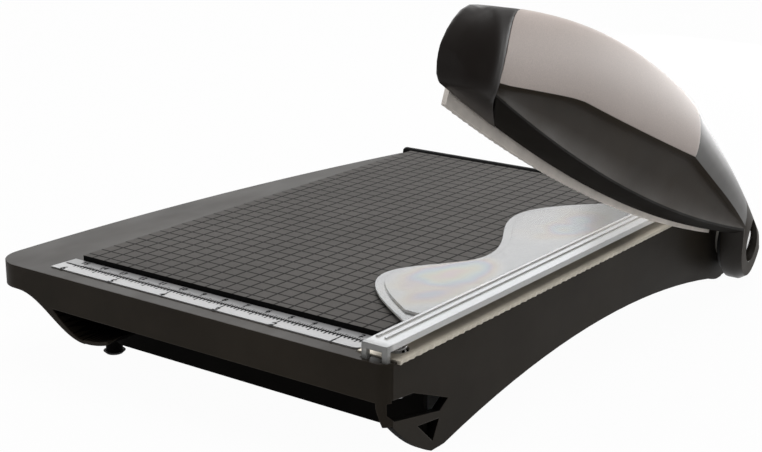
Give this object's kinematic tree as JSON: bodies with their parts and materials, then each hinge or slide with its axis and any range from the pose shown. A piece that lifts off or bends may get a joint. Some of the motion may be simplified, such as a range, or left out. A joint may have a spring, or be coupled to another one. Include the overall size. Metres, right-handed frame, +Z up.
{
  "type": "deckle edge paper trimmer",
  "caption": "Desk paper trimmer with a swinging arm: its wavy blade passes a matching bed blade and cuts a torn-looking deckle edge, while a clear sprung guard holds the sheet.",
  "frame": {"origin": "centre of the footprint on the table, below the middle of the overall box", "axes": "+X towards the arm side, +Y from the front edge to the pivot, +Z up from the table"},
  "size_m": [0.2062, 0.2766, 0.1477],
  "materials": {
    "base_plastic": "satin",
    "mat_vinyl": "matte",
    "ruler_print": "satin",
    "fence_plastic": "satin",
    "bed_steel": "brushed",
    "blade_steel": "ground",
    "carrier_steel": "satin",
    "screw_steel": "plain",
    "spring_steel": "plain",
    "bolt_chrome": "polished",
    "bush_bronze": "plain",
    "washer_plastic": "plain",
    "guard_clear": "clear",
    "arm_plastic": "satin",
    "end_plastic": "satin",
    "pad_rubber": "soft",
    "foot_rubber": "matte"
  },
  "bodies": {
    "base": {"base_shell": "base_plastic", "mat": "mat_vinyl", "ruler_strip": "ruler_print", "back_fence": "fence_plastic", "bed_blade": "bed_steel", "bed_screws": "screw_steel", "rubber_feet": "foot_rubber", "guard_spring_front": "spring_steel", "guard_spring_rear": "spring_steel", "pivot_bolt": "bolt_chrome", "head_washer": "screw_steel", "disc_spring": "spring_steel", "thrust_washer": "washer_plastic", "pivot_nut": "screw_steel", "stop_pin": "screw_steel"},
    "guard": {"guard": "guard_clear", "guard_screws": "screw_steel"},
    "arm": {"arm_shell": "arm_plastic", "grip_end": "end_plastic", "grip_pad": "pad_rubber", "blade_carrier": "carrier_steel", "arm_liner": "end_plastic", "deckle_blade": "blade_steel", "blade_screws": "screw_steel", "liner_screws": "screw_steel", "pivot_bush": "bush_bronze"}
  },
  "joints": [
    {"name": "arm_pivot", "type": "hinge", "parent": "base", "child": "arm", "pos_m": [0.0837, 0.1197, 0.02], "axis": [1, 0, 0], "range_deg": [-40, 20.5]},
    {"name": "guard_press", "type": "slide", "parent": "base", "child": "guard", "axis": [0, 0, 1], "range_m": [-0.001, 0], "stiffness_N_per_m": 800, "springref_m": 0.0015, "deforming": ["guard_spring_front", "guard_spring_rear"]}
  ]
}
